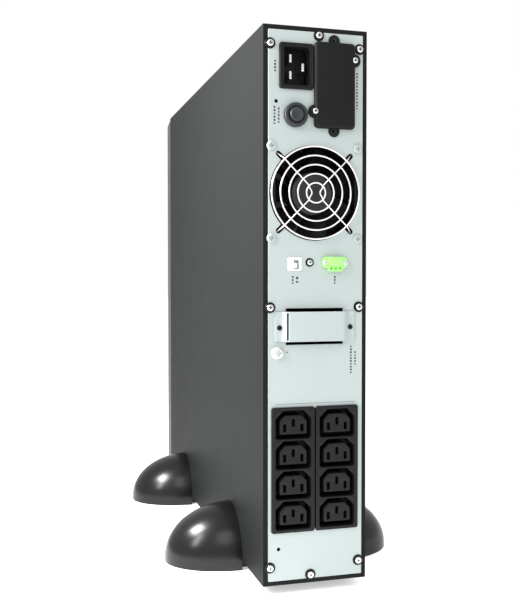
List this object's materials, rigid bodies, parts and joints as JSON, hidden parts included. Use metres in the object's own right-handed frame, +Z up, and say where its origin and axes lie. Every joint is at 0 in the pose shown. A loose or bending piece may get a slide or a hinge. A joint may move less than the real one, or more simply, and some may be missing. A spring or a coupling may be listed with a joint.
{
  "type": "rackmount ups",
  "caption": "Slim upright uninterruptible power supply with a fan, mains inlet and outlet strips on its rear panel, standing on half-dome feet.",
  "frame": {"origin": "on the surface that the stands rest on, under the middle of the whole object's box", "axes": "+Z up, +Y out of the rear panel with the sockets, X across the narrow width; the front bezel faces -Y"},
  "size_m": [0.2068, 0.4474, 0.446],
  "materials": {
    "case_paint": "satin fine-texture powder coat",
    "panel_paint": "smooth satin powder coat",
    "zinc_sheet": "galvanised",
    "screw_steel": "bright nickel",
    "blade_metal": "bright nickel",
    "guard_wire": "bright zinc plated wire",
    "black_moulding": "fine matt moulding",
    "grey_moulding": "satin",
    "black_paint": "satin",
    "black_screw": "blackened",
    "fan_plastic": "satin moulding",
    "copper_winding": "enamelled wire",
    "white_moulding": "gloss",
    "green_moulding": "satin",
    "circuit_board": "solder mask",
    "contact_brass": "plain",
    "bezel_plastic": "fine texture",
    "window_glass": "tinted clear plastic",
    "lcd_face": "gloss",
    "key_plastic": "satin",
    "battery_case": "matt",
    "sink_aluminium": "extruded",
    "capacitor_sleeve": "shrink sleeve",
    "stand_plastic": "semi-gloss moulding"
  },
  "bodies": {
    "case": {"outer_cover": "case_paint", "chassis_tray": "case_paint", "front_plate": "zinc_sheet", "divider_plate": "zinc_sheet", "rear_panel": "panel_paint", "case_screws": "screw_steel", "inlet_housing": "black_moulding", "inlet_blades": "blade_metal", "breaker_body": "black_moulding", "breaker_nut": "grey_moulding", "slot_frame": "black_moulding", "slot_cover": "black_paint", "slot_screws": "screw_steel", "slot_sleeve": "zinc_sheet", "fan_frame": "fan_plastic", "fan_stator": "copper_winding", "fan_guard": "guard_wire", "fan_screws": "screw_steel", "usb_port": "white_moulding", "comm_board": "circuit_board", "comm_bracket": "zinc_sheet", "comm_screw": "screw_steel", "epo_socket": "green_moulding", "battery_port_cover": "panel_paint", "battery_port_screws": "black_screw", "battery_connector": "black_moulding", "ground_washer": "screw_steel", "ground_screw": "screw_steel", "outlet_strip_left": "black_moulding", "outlet_strip_right": "black_moulding", "outlet_contacts_left": "contact_brass", "outlet_contacts_right": "contact_brass", "bezel_studs": "screw_steel", "display_housing": "bezel_plastic", "display_board": "circuit_board", "lcd_panel": "lcd_face", "battery_door": "zinc_sheet", "battery_tray": "zinc_sheet", "battery_block_1": "battery_case", "battery_block_2": "battery_case", "battery_block_3": "battery_case", "battery_block_4": "battery_case", "main_board": "circuit_board", "board_standoffs": "contact_brass", "inverter_heatsink": "sink_aluminium", "bus_capacitors": "capacitor_sleeve", "power_chokes": "copper_winding", "stand_rear_left": "stand_plastic", "stand_rear_right": "stand_plastic", "stand_front_left": "stand_plastic", "stand_front_right": "stand_plastic"},
    "fan_rotor": {"fan_rotor": "fan_plastic"},
    "breaker_button": {"breaker_button": "grey_moulding"},
    "epo_plug": {"epo_plug": "green_moulding", "epo_plug_screws": "screw_steel"},
    "front_bezel": {"front_bezel": "bezel_plastic", "display_window": "window_glass"},
    "power_key": {"power_key": "key_plastic"},
    "select_key": {"select_key": "key_plastic"},
    "mute_key": {"mute_key": "key_plastic"}
  },
  "joints": [
    {"name": "fan_spin", "type": "hinge", "parent": "case", "child": "fan_rotor", "pos_m": [0.001, 0.2, 0.3167], "axis": [0, 1, 0], "continuous": true},
    {"name": "breaker_trip", "type": "slide", "parent": "case", "child": "breaker_button", "axis": [0, 1, 0], "range_m": [0, 0.003]},
    {"name": "epo_plug_pull", "type": "slide", "parent": "case", "child": "epo_plug", "axis": [0, 1, 0], "range_m": [0, 0.014]},
    {"name": "bezel_pull", "type": "slide", "parent": "case", "child": "front_bezel", "axis": [0, -1, 0], "range_m": [0, 0.03]},
    {"name": "power_key_press", "type": "slide", "parent": "front_bezel", "child": "power_key", "axis": [0, 1, 0], "range_m": [0, 0.001], "stiffness_N_per_m": 600, "springref_m": -0.001},
    {"name": "select_key_press", "type": "slide", "parent": "front_bezel", "child": "select_key", "axis": [0, 1, 0], "range_m": [0, 0.001], "stiffness_N_per_m": 600, "springref_m": -0.001},
    {"name": "mute_key_press", "type": "slide", "parent": "front_bezel", "child": "mute_key", "axis": [0, 1, 0], "range_m": [0, 0.001], "stiffness_N_per_m": 600, "springref_m": -0.001}
  ]
}
